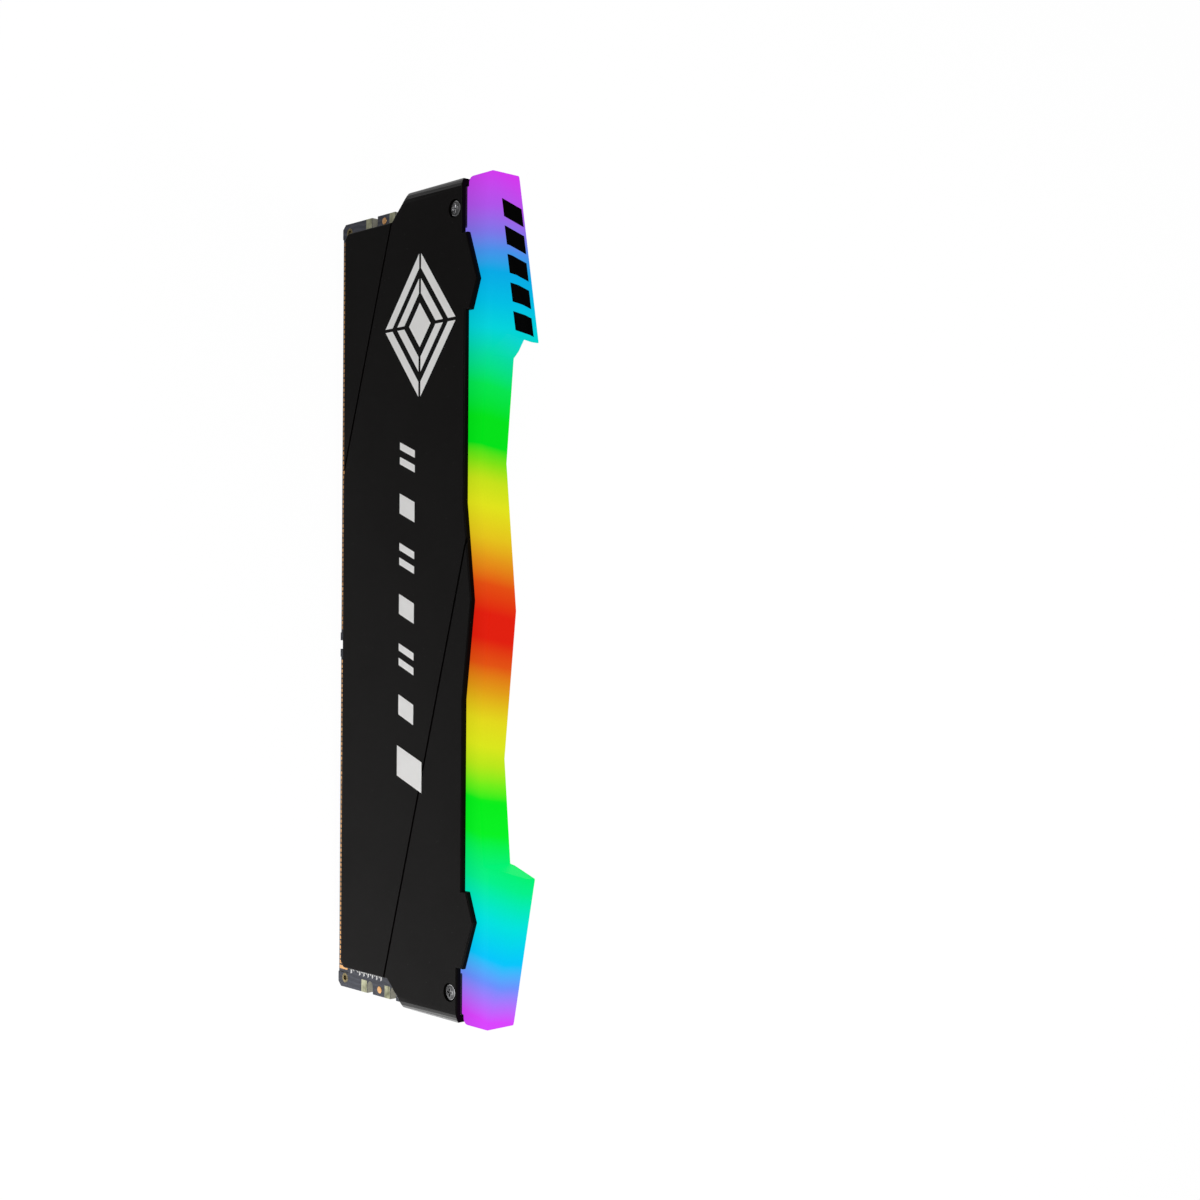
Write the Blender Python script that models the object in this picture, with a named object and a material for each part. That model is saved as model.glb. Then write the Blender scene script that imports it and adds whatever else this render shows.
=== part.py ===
"""Desktop memory module: circuit board, two heat spreaders, and a light bar with two raised wings.

Frame: X runs along the length, the front faces -Y, Z is up. The origin is the middle of the contact
edge, and the module stands on that edge as it does in its socket.
"""

import math

import bmesh
import bpy
from mathutils import Vector

MM = 0.001

# Clearances
FIT_GAP = 0.3 * MM  # between pieces that touch on the real module
FILM_GAP = 0.05 * MM  # under the contact plating
SEAT_GAP = 0.1 * MM  # under a screw head

# Circuit board
BOARD_LENGTH = 133.35 * MM
BOARD_HEIGHT = 31.25 * MM
BOARD_THICKNESS = 1.27 * MM
BOARD_OFFSET = 0.8 * MM  # the heat spreaders are clamped this far off the board's middle
BOARD_CORNER = 0.8 * MM
LATCH_NOTCH_HEIGHTS = (9.4 * MM, 16.0 * MM)
LATCH_NOTCH_WIDTH = 1.6 * MM
LATCH_NOTCH_DEPTH = 2.1 * MM
KEY_NOTCH_WIDTH = 1.5 * MM
KEY_NOTCH_HEIGHT = 3.9 * MM
TOOLING_HOLE_DIAMETER = 1.0 * MM
TOOLING_HOLE_INSET = 1.6 * MM
TOOLING_HOLE_HEIGHT = 2.0 * MM

# Edge contacts
CONTACT_PITCH = 0.85 * MM
CONTACT_WIDTH = 0.6 * MM
CONTACT_FOOT = 0.25 * MM
CONTACT_TOP = 2.35 * MM
CONTACT_LINK = 0.4 * MM  # height of the plating strip that joins the contacts
CONTACT_THICKNESS = 0.1 * MM
LEFT_CONTACTS = 80
RIGHT_CONTACTS = 64
KEY_GAP_PITCHES = 7  # from the last contact before the key notch to the first one after it

# Chips and other board parts
CHIP_LENGTH = 9.5 * MM
CHIP_HEIGHT = 11.0 * MM
CHIP_THICKNESS = 0.8 * MM
CHIP_CENTRE_HEIGHT = 15.5 * MM
CHIP_FIRST = 19.5 * MM  # centre of the chip nearest the middle
CHIP_END_INSET = 11.2 * MM  # from a board end to the centre of the last chip
CHIPS_PER_SIDE = 4
POWER_CHIP = (5.0 * MM, 5.0 * MM, 0.8 * MM)
POWER_CHIP_PLACE = (-3.0 * MM, 18.0 * MM)
INDUCTOR = (3.2 * MM, 2.5 * MM, 1.2 * MM)
INDUCTOR_PITCH = 4.6 * MM
INDUCTOR_HEIGHT = 25.3 * MM
CAPACITOR = (2.0 * MM, 1.25 * MM, 1.1 * MM)
CAPACITOR_PITCH = 3.4 * MM
CAPACITOR_HEIGHT = 12.0 * MM
HUB_CHIP = (3.0 * MM, 2.0 * MM, 0.75 * MM)
HUB_CHIP_PLACE = (6.5 * MM, 18.0 * MM)
LIGHT_CHIP = (4.0 * MM, 4.0 * MM, 0.8 * MM)
LIGHT_CHIP_PLACE = (0.0, 20.0 * MM)
LED = (3.0 * MM, 1.5 * MM, 0.7 * MM)
LED_COUNT = 10
LED_END_INSET = 10.0 * MM
LED_DROP = 0.25 * MM

# Thermal pads
PAD_THICKNESS = 0.715 * MM
PAD_MARGIN = 0.6 * MM

# Heat spreaders: insets and overhangs are from the board's ends, rises from its top edge
SPREADER_WALL = 0.9 * MM
SPREADER_BOTTOM = 5.2 * MM
SPREADER_RISE = 5.85 * MM
LOWER_INSET = 3.6 * MM
UPPER_OVERHANG = 0.5 * MM
SHOULDER_START = 18.6 * MM
SHOULDER_END = 23.0 * MM
LOWER_CORNER = 0.9 * MM
MIDDLE_STEP = 1.0 * MM  # the top edge between the fangs stands this much higher
CREST_HALF_LENGTH = 15.6 * MM
CREST_RISE = 2.0 * MM
FANG_OUTER_INSET = 8.7 * MM  # from the spreader's upper end
FANG_APEX_INSET = 16.4 * MM
FANG_INNER_INSET = 21.1 * MM
FANG_RISE = 4.0 * MM
FANG_SHOULDER = 1.2 * MM
END_ROLL = 1.7 * MM  # radius of the rolled upper ends
EDGE_ROUND = 0.25 * MM
FLANGE_GAP = 0.3 * MM  # between an end flange and the board's face
GROOVE_WIDTH = 0.45 * MM
GROOVE_DEPTH = 0.35 * MM
LOWER_GROOVE_FOOT = -21.5 * MM  # where it leaves the bottom edge
UPPER_GROOVE_HEAD = -7.2 * MM  # where it leaves the top edge

# Light bar: insets are from its ends, rises from the spreaders' top edge
BAR_OVERHANG = 0.3 * MM
BAR_SHIFT = 1.6 * MM  # of the top outline, towards +X
BAR_END_RISE = 6.3 * MM
WING_TIP_INSET = 26.0 * MM
WING_TIP_RISE = 13.5 * MM
WING_HOOK_INSET = 24.3 * MM  # the undercut below the left wing's tip
WING_HOOK_RISE = 8.9 * MM
WING_FOOT_INSET = 27.3 * MM
WING_FOOT_RISE = 5.3 * MM
WING_CREASE_RISE = 6.4 * MM
WING_RIDGE_HALF = 0.8 * MM
VALLEY_HALF_LENGTH = 23.6 * MM
VALLEY_RISE = 3.7 * MM
BAR_CREST_RISE = 6.3 * MM
BAR_CORNER = 1.0 * MM
BAR_EDGE_ROUND = 0.3 * MM

# Light bar carrier
CARRIER_DROP = 3.25 * MM  # its foot, below the board's top edge
CARRIER_WEB = 2.35 * MM
CARRIER_BLOCK_LENGTH = 6.2 * MM
CARRIER_BLOCK_DROP = 0.4 * MM  # below the spreaders' top edge
LED_WINDOW_MARGIN = 0.6 * MM

# Screws, which cut their threads in the carrier's end blocks
SCREW_INSET = 4.6 * MM
SCREW_DROP = 1.8 * MM
SCREW_HEAD_DIAMETER = 2.4 * MM
SCREW_HEAD_EDGE = 0.25 * MM
SCREW_HEAD_DOME = 0.14 * MM
SCREW_HEAD_SINK = 0.08 * MM
SCREW_SHANK_DIAMETER = 1.4 * MM
SCREW_TIP_GAP = 0.4 * MM  # from a screw's tip to the module's middle plane
CROSS_LENGTH = 1.4 * MM
CROSS_WIDTH = 0.34 * MM
CROSS_DEPTH = 0.25 * MM

# Values that follow from the ones above
BOARD_FACE = BOARD_THICKNESS / 2
CHIP_BACK = BOARD_FACE + FIT_GAP
PAD_BACK = CHIP_BACK + CHIP_THICKNESS + FIT_GAP
PAD_FACE = PAD_BACK + PAD_THICKNESS
SPREADER_INSIDE = PAD_FACE + FIT_GAP
SPREADER_FACE = SPREADER_INSIDE + SPREADER_WALL
SPREADER_TOP = BOARD_HEIGHT + SPREADER_RISE
MIDDLE_TOP = SPREADER_TOP + MIDDLE_STEP
LOWER_HALF_LENGTH = BOARD_LENGTH / 2 - LOWER_INSET
UPPER_HALF_LENGTH = BOARD_LENGTH / 2 + UPPER_OVERHANG
BAR_FACE = SPREADER_INSIDE - FIT_GAP
BAR_HALF_LENGTH = UPPER_HALF_LENGTH + BAR_OVERHANG
CARRIER_HALF_LENGTH = UPPER_HALF_LENGTH - SPREADER_WALL - FIT_GAP
CARRIER_ROOF = BOARD_HEIGHT + FIT_GAP
CARRIER_TOP = CARRIER_ROOF + CARRIER_WEB
CARRIER_BLOCK_TOP = SPREADER_TOP - CARRIER_BLOCK_DROP
CARRIER_SLOT = CHIP_BACK + LED[2] + FIT_GAP  # half the width of the slot over the board and LEDs
WING_TOP = SPREADER_TOP + WING_TIP_RISE
SCREW_X = UPPER_HALF_LENGTH - SCREW_INSET
SCREW_Z = SPREADER_TOP - SCREW_DROP
SHANK_HOLE = SCREW_SHANK_DIAMETER + 2 * FIT_GAP
SCREW_RECESS = SCREW_HEAD_DIAMETER + 2 * FIT_GAP
CHIP_PITCH = (BOARD_LENGTH / 2 - CHIP_END_INSET - CHIP_FIRST) / (CHIPS_PER_SIDE - 1)
LED_PITCH = (BOARD_LENGTH - 2 * LED_END_INSET) / (LED_COUNT - 1)
FIRST_CONTACT = -(LEFT_CONTACTS + RIGHT_CONTACTS - 2 + KEY_GAP_PITCHES) * CONTACT_PITCH / 2
KEY_NOTCH_X = FIRST_CONTACT + (LEFT_CONTACTS - 1 + KEY_GAP_PITCHES / 2) * CONTACT_PITCH
CLEAR = 5 * MM  # how far a cutter runs past the piece it cuts
SAME_PLACE = 0.1 * MM  # points this near to a plane belong to it


def clear_scene():
    for old in list(bpy.data.objects):
        bpy.data.objects.remove(old, do_unlink=True)


def finish(name, colour, roughness, metallic=0.0):
    """A Principled material of one colour."""
    material = bpy.data.materials.new(name)
    material.use_nodes = True
    shader = material.node_tree.nodes["Principled BSDF"]
    shader.inputs["Base Color"].default_value = (*colour, 1.0)
    shader.inputs["Roughness"].default_value = roughness
    shader.inputs["Metallic"].default_value = metallic
    return material


def place(name, mesh, material=None):
    """Puts a mesh or a bmesh in the scene as one named object."""
    if isinstance(mesh, bmesh.types.BMesh):
        source = mesh
        bmesh.ops.recalc_face_normals(source, faces=source.faces)
        mesh = bpy.data.meshes.new(name)
        source.to_mesh(mesh)
        source.free()
    obj = bpy.data.objects.new(name, mesh)
    bpy.context.scene.collection.objects.link(obj)
    if material and not mesh.materials:
        mesh.materials.append(material)
    return obj


def block(low, high, shape=None):
    """A box between two corners, added to a bmesh."""
    shape = shape or bmesh.new()
    made = bmesh.ops.create_cube(shape, size=1)
    middle = (Vector(low) + Vector(high)) / 2
    size = Vector(high) - Vector(low)
    for vert in made["verts"]:
        vert.co = Vector(a * b for a, b in zip(vert.co, size)) + middle
    return shape


def prism(outline, front, back):
    """An outline of (x, z) points, extruded along Y."""
    shape = bmesh.new()
    face = shape.faces.new([shape.verts.new((x, front, z)) for x, z in outline])
    made = bmesh.ops.extrude_face_region(shape, geom=[face])
    moved = [item for item in made["geom"] if isinstance(item, bmesh.types.BMVert)]
    bmesh.ops.translate(shape, vec=(0, back - front, 0), verts=moved)
    return shape


def turned(profile, segments, x, z):
    """A profile of (radius, y) points, turned about the Y direction through (x, z)."""
    shape = bmesh.new()
    verts = [shape.verts.new((radius, y, 0)) for radius, y in profile]
    edges = [shape.edges.new(pair) for pair in zip(verts, verts[1:] + verts[:1])]
    bmesh.ops.spin(
        shape, geom=verts + edges, cent=(0, 0, 0), axis=(0, 1, 0), angle=math.tau,
        steps=segments, use_merge=True,
    )
    bmesh.ops.remove_doubles(shape, verts=shape.verts, dist=0.001 * MM)
    loose = [edge for edge in shape.edges if not edge.link_faces]
    bmesh.ops.delete(shape, geom=loose, context="EDGES")
    bmesh.ops.translate(shape, vec=(x, 0, z), verts=shape.verts)
    return shape


def drill(diameter):
    """The profile of a straight hole along Y, for turning."""
    radius = diameter / 2
    return [(0, -CLEAR), (radius, -CLEAR), (radius, CLEAR), (0, CLEAR)]


def arc(centre, radius, start, end, steps):
    """Points on an arc, with angles in degrees from +X towards +Z."""
    angles = [math.radians(start + (end - start) * i / steps) for i in range(steps + 1)]
    return [(centre[0] + radius * math.cos(a), centre[1] + radius * math.sin(a)) for a in angles]


def mirrored(half):
    """The whole outline from its +X half, which runs from the bottom up to the top."""
    return half + [(-x, z) for x, z in reversed(half)]


def cut(target, name, shape):
    """Cuts a shape out of an object."""
    cutter = place(name, shape)
    cutter.hide_render = True
    cutter.display_type = "WIRE"
    modifier = target.modifiers.new(name, "BOOLEAN")
    modifier.operation = "DIFFERENCE"
    modifier.solver = "EXACT"
    modifier.object = cutter
    return modifier


def settle(obj):
    """Applies an object's modifiers and removes its cutters, so that others can share the mesh."""
    bpy.context.view_layer.update()
    graph = bpy.context.evaluated_depsgraph_get()
    mesh = bpy.data.meshes.new_from_object(obj.evaluated_get(graph))
    cutters = [modifier.object for modifier in obj.modifiers if modifier.type == "BOOLEAN"]
    obj.modifiers.clear()
    old = obj.data
    obj.data = mesh
    mesh.name = obj.name
    bpy.data.meshes.remove(old)
    for cutter in cutters:
        bpy.data.objects.remove(cutter, do_unlink=True)


def smooth(obj, degrees=35):
    obj.data.shade_smooth()
    obj.data.set_sharp_from_angle(angle=math.radians(degrees))


def contact_groups():
    """(name, first contact's x, count) of the contacts either side of the key notch."""
    right_first = FIRST_CONTACT + (LEFT_CONTACTS - 1 + KEY_GAP_PITCHES) * CONTACT_PITCH
    return (
        ("left", BOARD_OFFSET + FIRST_CONTACT, LEFT_CONTACTS),
        ("right", BOARD_OFFSET + right_first, RIGHT_CONTACTS),
    )


def latch_notch(height):
    """Points of one latch notch in the board's +X end, from its lower corner to its upper one."""
    radius = LATCH_NOTCH_WIDTH / 2
    end = BOARD_LENGTH / 2
    bottom = (end - LATCH_NOTCH_DEPTH + radius, height)
    return [(end, height - radius), *arc(bottom, radius, 270, 90, 8), (end, height + radius)]


def make_board():
    end = BOARD_LENGTH / 2
    half = [(end - BOARD_CORNER, 0), (end, BOARD_CORNER)]
    for height in LATCH_NOTCH_HEIGHTS:
        half += latch_notch(height)
    half.append((end, BOARD_HEIGHT))
    radius = KEY_NOTCH_WIDTH / 2
    key = arc((KEY_NOTCH_X, KEY_NOTCH_HEIGHT - radius), radius, 180, 0, 8)
    key = [(KEY_NOTCH_X - radius, 0), *key, (KEY_NOTCH_X + radius, 0)]
    outline = [(x + BOARD_OFFSET, z) for x, z in mirrored(half) + key]
    material = finish("board_black", (0.02, 0.025, 0.03), 0.35)
    board = place("pcb", prism(outline, -BOARD_FACE, BOARD_FACE), material)
    pockets = bmesh.new()
    depth = CONTACT_THICKNESS + FILM_GAP
    for _, first, count in contact_groups():
        start = first - CONTACT_PITCH
        stop = first + count * CONTACT_PITCH
        top = CONTACT_TOP + CONTACT_LINK + FIT_GAP
        for near, far in ((-CLEAR, depth - BOARD_FACE), (BOARD_FACE - depth, CLEAR)):
            block((start, near, -CLEAR), (stop, far, top), pockets)
    cut(board, "contact_pockets", pockets)
    for name, side in (("left", -1), ("right", 1)):
        x = BOARD_OFFSET + side * (end - TOOLING_HOLE_INSET)
        hole = turned(drill(TOOLING_HOLE_DIAMETER), 20, x, TOOLING_HOLE_HEIGHT)
        cut(board, f"tooling_hole_{name}", hole)
    settle(board)
    smooth(board)


def make_contacts():
    """Each row of contacts is a comb: the fingers and the plating strip that joins them."""
    gold = finish("contact_gold", (0.85, 0.55, 0.25), 0.25, 1.0)
    joint = CONTACT_TOP
    for name, first, count in contact_groups():
        outline = []
        for i in range(count):
            x = first + i * CONTACT_PITCH
            left, right = x - CONTACT_WIDTH / 2, x + CONTACT_WIDTH / 2
            outline += [(left, joint), (left, CONTACT_FOOT), (right, CONTACT_FOOT), (right, joint)]
        last = first + (count - 1) * CONTACT_PITCH
        outline[0] = (first - CONTACT_WIDTH / 2, joint + CONTACT_LINK)
        outline[-1] = (last + CONTACT_WIDTH / 2, joint + CONTACT_LINK)
        face = BOARD_FACE
        place(f"contacts_front_{name}", prism(outline, -face, CONTACT_THICKNESS - face), gold)
        place(f"contacts_rear_{name}", prism(outline, face - CONTACT_THICKNESS, face), gold)


def board_part(name, size, x, z, material, rear=False):
    """A chip or other soldered part: size is its length, height and thickness."""
    length, height, thickness = size
    near, far = sorted((CHIP_BACK, CHIP_BACK + thickness))
    low, high = (near, far) if rear else (-far, -near)
    x += BOARD_OFFSET
    shape = block((x - length / 2, low, z - height / 2), (x + length / 2, high, z + height / 2))
    return place(name, shape, material)


def chip_places():
    first = [CHIP_FIRST + i * CHIP_PITCH for i in range(CHIPS_PER_SIDE)]
    return [-x for x in reversed(first)] + first


def led_places():
    return [(i - (LED_COUNT - 1) / 2) * LED_PITCH for i in range(LED_COUNT)]


def make_board_parts():
    resin = finish("chip_resin", (0.02, 0.02, 0.022), 0.6)
    ferrite = finish("inductor_grey", (0.12, 0.12, 0.12), 0.55)
    ceramic = finish("capacitor_tan", (0.45, 0.32, 0.2), 0.5)
    white = finish("led_white", (0.85, 0.85, 0.82), 0.4)
    chip = (CHIP_LENGTH, CHIP_HEIGHT, CHIP_THICKNESS)
    for i, x in enumerate(chip_places()):
        board_part(f"memory_chip_{i + 1}", chip, x, CHIP_CENTRE_HEIGHT, resin)
    board_part("power_chip", POWER_CHIP, *POWER_CHIP_PLACE, resin)
    board_part("spd_hub_chip", HUB_CHIP, *HUB_CHIP_PLACE, resin)
    board_part("lighting_controller", LIGHT_CHIP, *LIGHT_CHIP_PLACE, resin, rear=True)
    for i in range(3):
        board_part(f"inductor_{i + 1}", INDUCTOR, (i - 1) * INDUCTOR_PITCH, INDUCTOR_HEIGHT, ferrite)
    for i in range(4):
        x = (i - 1.5) * CAPACITOR_PITCH
        board_part(f"capacitor_{i + 1}", CAPACITOR, x, CAPACITOR_HEIGHT, ceramic)
    for i, x in enumerate(led_places()):
        board_part(f"led_{i + 1}", LED, x, BOARD_HEIGHT - LED_DROP - LED[1] / 2, white)


def make_pads():
    grey = finish("thermal_pad_grey", (0.35, 0.38, 0.42), 0.9)
    reach = CHIP_LENGTH / 2 + PAD_MARGIN
    low = CHIP_CENTRE_HEIGHT - CHIP_HEIGHT / 2 - PAD_MARGIN
    high = CHIP_CENTRE_HEIGHT + CHIP_HEIGHT / 2 + PAD_MARGIN
    places = chip_places()
    for name, chips in (("left", places[:CHIPS_PER_SIDE]), ("right", places[CHIPS_PER_SIDE:])):
        start = BOARD_OFFSET + chips[0] - reach
        stop = BOARD_OFFSET + chips[-1] + reach
        front = block((start, -PAD_FACE, low), (stop, -PAD_BACK, high))
        rear = block((start, CHIP_BACK, low), (stop, PAD_FACE, high))
        place(f"thermal_pad_front_{name}", front, grey)
        place(f"thermal_pad_rear_{name}", rear, grey)
    x = POWER_CHIP_PLACE[0] + BOARD_OFFSET
    z = POWER_CHIP_PLACE[1]
    half = POWER_CHIP[0] / 2 + PAD_MARGIN
    back = CHIP_BACK + POWER_CHIP[2] + FIT_GAP
    pad = block((x - half, -PAD_FACE, z - half), (x + half, -back, z + half))
    place("thermal_pad_power", pad, grey)


def spreader_outline():
    end = UPPER_HALF_LENGTH
    half = [
        (LOWER_HALF_LENGTH - LOWER_CORNER, SPREADER_BOTTOM),
        (LOWER_HALF_LENGTH, SPREADER_BOTTOM + LOWER_CORNER),
        (LOWER_HALF_LENGTH, SHOULDER_START),
        (end, SHOULDER_END),
        (end, SPREADER_TOP),
        (end - FANG_OUTER_INSET, SPREADER_TOP),
        (end - FANG_OUTER_INSET, SPREADER_TOP + FANG_SHOULDER),
        (end - FANG_APEX_INSET, SPREADER_TOP + FANG_RISE),
        (end - FANG_INNER_INSET, MIDDLE_TOP + FANG_SHOULDER),
        (end - FANG_INNER_INSET, MIDDLE_TOP),
        (CREST_HALF_LENGTH, MIDDLE_TOP),
    ]
    return half + [(0, MIDDLE_TOP + CREST_RISE)] + [(-x, z) for x, z in reversed(half)]


def groove(start, end):
    """A straight groove in the front face between two (x, z) points, run on past both."""
    along = Vector((end[0] - start[0], 0, end[1] - start[1])).normalized()
    across = Vector((-along.z, 0, along.x)) * GROOVE_WIDTH / 2
    first = Vector((start[0], 0, start[1])) - along * CLEAR
    last = Vector((end[0], 0, end[1])) + along * CLEAR
    corners = (first - across, last - across, last + across, first + across)
    return prism([(p.x, p.z) for p in corners], -SPREADER_FACE - CLEAR, GROOVE_DEPTH - SPREADER_FACE)


def round_edges(obj, width, weight_of):
    """A weighted Bevel: weight_of gives each edge's share of the width from its two ends."""
    weights = obj.data.attributes.new("bevel_weight_edge", "FLOAT", "EDGE")
    points = [vert.co for vert in obj.data.vertices]
    for edge in obj.data.edges:
        weights.data[edge.index].value = weight_of(*(points[i] for i in edge.vertices))
    bevel = obj.modifiers.new("edges", "BEVEL")
    bevel.limit_method = "WEIGHT"
    bevel.width = width
    bevel.segments = 4
    bevel.use_clamp_overlap = False


def make_spreaders():
    """The two heat spreaders are the same pressing, one turned round to face the back."""
    material = finish("spreader_black", (0.02, 0.02, 0.021), 0.5, 0.6)
    flange_back = BOARD_FACE + FLANGE_GAP
    front = place("front_heatspreader", prism(spreader_outline(), -SPREADER_FACE, -flange_back), material)

    def weight(a, b):
        on_face = max(a.y, b.y) < -SPREADER_FACE + SAME_PLACE
        at_end = min(abs(a.x), abs(b.x)) > UPPER_HALF_LENGTH - SAME_PLACE
        return (1.0 if at_end else EDGE_ROUND / END_ROLL) if on_face else 0.0

    round_edges(front, END_ROLL, weight)
    side = UPPER_HALF_LENGTH - SPREADER_WALL
    far = UPPER_HALF_LENGTH + CLEAR
    flange_foot = SHOULDER_END + EDGE_ROUND
    hollow = [(far, -CLEAR), (far, flange_foot), (side, flange_foot), (side, WING_TOP)]
    cut(front, "hollow", prism(mirrored(hollow), -SPREADER_INSIDE, CLEAR))
    corner = (-LOWER_HALF_LENGTH, SHOULDER_START)
    cut(front, "lower_groove", groove(corner, (LOWER_GROOVE_FOOT, SPREADER_BOTTOM)))
    head = (UPPER_GROOVE_HEAD, MIDDLE_TOP)
    cut(front, "upper_groove", groove(head, (LOWER_HALF_LENGTH, SHOULDER_START - LOWER_CORNER)))
    floor = SCREW_HEAD_SINK + SCREW_HEAD_DOME + SCREW_HEAD_EDGE + SEAT_GAP - SPREADER_FACE
    profile = [
        (0, -SPREADER_FACE - CLEAR),
        (SCREW_RECESS / 2, -SPREADER_FACE - CLEAR),
        (SCREW_RECESS / 2, floor),
        (SHANK_HOLE / 2, floor),
        (SHANK_HOLE / 2, CLEAR),
        (0, CLEAR),
    ]
    for name, x in (("left", -SCREW_X), ("right", SCREW_X)):
        cut(front, f"screw_hole_{name}", turned(profile, 24, x, SCREW_Z))
    settle(front)
    smooth(front)
    rear = place("rear_heatspreader", front.data)
    rear.rotation_euler.z = math.pi


def make_light_bar():
    """A solid frosted light guide: a prism whose wings lean in above the crease."""
    step = CARRIER_HALF_LENGTH - CARRIER_BLOCK_LENGTH - FIT_GAP
    ledge = SPREADER_TOP + FIT_GAP
    end = BAR_HALF_LENGTH
    seat = CARRIER_BLOCK_TOP + FIT_GAP
    past_block = CARRIER_HALF_LENGTH
    lower = [(step, CARRIER_TOP + FIT_GAP), (step, seat), (past_block, seat), (past_block, ledge)]
    lower += arc((end - BAR_CORNER, ledge + BAR_CORNER), BAR_CORNER, 270, 360, 5)
    tip = (end - WING_TIP_INSET, WING_TIP_RISE)
    hook = (end - WING_HOOK_INSET, WING_HOOK_RISE)
    foot = (end - WING_FOOT_INSET, WING_FOOT_RISE)
    valley = (VALLEY_HALF_LENGTH, VALLEY_RISE)
    tops = [tip, foot, valley, (0, BAR_CREST_RISE)]
    tops += [(-x, rise) for x, rise in (valley, foot, hook, tip)]
    crown = [(end, BAR_END_RISE)] + [(x + BAR_SHIFT, rise) for x, rise in tops] + [(-end, BAR_END_RISE)]
    outline = lower + [(x, SPREADER_TOP + rise) for x, rise in crown]
    outline += [(-x, z) for x, z in reversed(lower)]
    material = finish("bar_frosted", (0.5, 0.85, 0.9), 0.45)
    bar = place("light_bar", prism(outline, -BAR_FACE, BAR_FACE), material)
    crease = SPREADER_TOP + WING_CREASE_RISE
    lean = (BAR_FACE - WING_RIDGE_HALF) / (WING_TOP - crease)
    rise = WING_TOP - crease + CLEAR
    for side, name in ((-1, "front_lean"), (1, "rear_lean")):
        wedge = bmesh.new()
        section = [(BAR_FACE, crease), (BAR_FACE + CLEAR, crease)]
        section += [(BAR_FACE + CLEAR, crease + rise), (BAR_FACE - lean * rise, crease + rise)]
        ring = [wedge.verts.new((-BAR_HALF_LENGTH - CLEAR, side * y, z)) for y, z in section]
        made = bmesh.ops.extrude_face_region(wedge, geom=[wedge.faces.new(ring)])
        moved = [item for item in made["geom"] if isinstance(item, bmesh.types.BMVert)]
        bmesh.ops.translate(wedge, vec=(2 * (BAR_HALF_LENGTH + CLEAR), 0, 0), verts=moved)
        cut(bar, name, wedge)
    bevel = bar.modifiers.new("edges", "BEVEL")
    bevel.width = BAR_EDGE_ROUND
    bevel.segments = 2
    bevel.limit_method = "ANGLE"
    bevel.angle_limit = math.radians(20)
    settle(bar)
    smooth(bar, 30)


def make_carrier():
    """A channel over the board's top edge, with a window above each LED and a block at each end."""
    foot = BOARD_HEIGHT - CARRIER_DROP
    far = CARRIER_HALF_LENGTH
    inner = far - CARRIER_BLOCK_LENGTH
    half = [(far, foot), (far, CARRIER_BLOCK_TOP), (inner, CARRIER_BLOCK_TOP), (inner, CARRIER_TOP)]
    material = finish("carrier_black", (0.03, 0.03, 0.03), 0.6)
    carrier = place("light_bar_carrier", prism(mirrored(half), -BAR_FACE, BAR_FACE), material)
    past = far + CLEAR
    slot = block((-past, -CARRIER_SLOT, foot - CLEAR), (past, CARRIER_SLOT, CARRIER_ROOF))
    cut(carrier, "board_slot", slot)
    windows = bmesh.new()
    reach = LED[0] / 2 + LED_WINDOW_MARGIN
    for x in led_places():
        x += BOARD_OFFSET
        low = (x - reach, -CARRIER_SLOT, CARRIER_ROOF - FIT_GAP)
        block(low, (x + reach, CARRIER_SLOT, CARRIER_TOP + CLEAR), windows)
    cut(carrier, "led_windows", windows)
    for name, x in (("left", -SCREW_X), ("right", SCREW_X)):
        cut(carrier, f"screw_hole_{name}", turned(drill(SHANK_HOLE), 24, x, SCREW_Z))
    settle(carrier)
    smooth(carrier)


def make_fasteners():
    steel = finish("screw_steel", (0.6, 0.6, 0.6), 0.3, 1.0)
    head_top = SCREW_HEAD_SINK - SPREADER_FACE
    head_edge = head_top + SCREW_HEAD_DOME
    head_foot = head_edge + SCREW_HEAD_EDGE
    head, shank = SCREW_HEAD_DIAMETER / 2, SCREW_SHANK_DIAMETER / 2
    tip = -SCREW_TIP_GAP
    profile = [(0, head_top), (head * 0.6, head_top + SCREW_HEAD_DOME * 0.3), (head, head_edge)]
    profile += [(head, head_foot), (shank, head_foot)]
    profile += [(shank, tip - shank / 2), (shank / 2, tip), (0, tip)]
    screw = place("front_screw_right", turned(profile, 24, 0, 0), steel)
    floor = head_top + CROSS_DEPTH
    across, along = CROSS_WIDTH / 2, CROSS_LENGTH / 2
    for name, half_x, half_z in (("cross_level", along, across), ("cross_upright", across, along)):
        slot = block((-half_x, -SPREADER_FACE - CLEAR, -half_z), (half_x, floor, half_z))
        cut(screw, name, slot)
    settle(screw)
    smooth(screw)
    screw.location = (SCREW_X, 0, SCREW_Z)
    for name, x, turn in (
        ("front_screw_left", -SCREW_X, 0),
        ("rear_screw_left", -SCREW_X, math.pi),
        ("rear_screw_right", SCREW_X, math.pi),
    ):
        copy = place(name, screw.data)
        copy.location = (x, 0, SCREW_Z)
        copy.rotation_euler.z = turn


def main():
    clear_scene()
    make_board()
    make_contacts()
    make_board_parts()
    make_pads()
    make_spreaders()
    make_light_bar()
    make_carrier()
    make_fasteners()


main()
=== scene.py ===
import math

import bmesh
import bpy
from mathutils import Euler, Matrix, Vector
from mathutils.bvhtree import BVHTree


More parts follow.
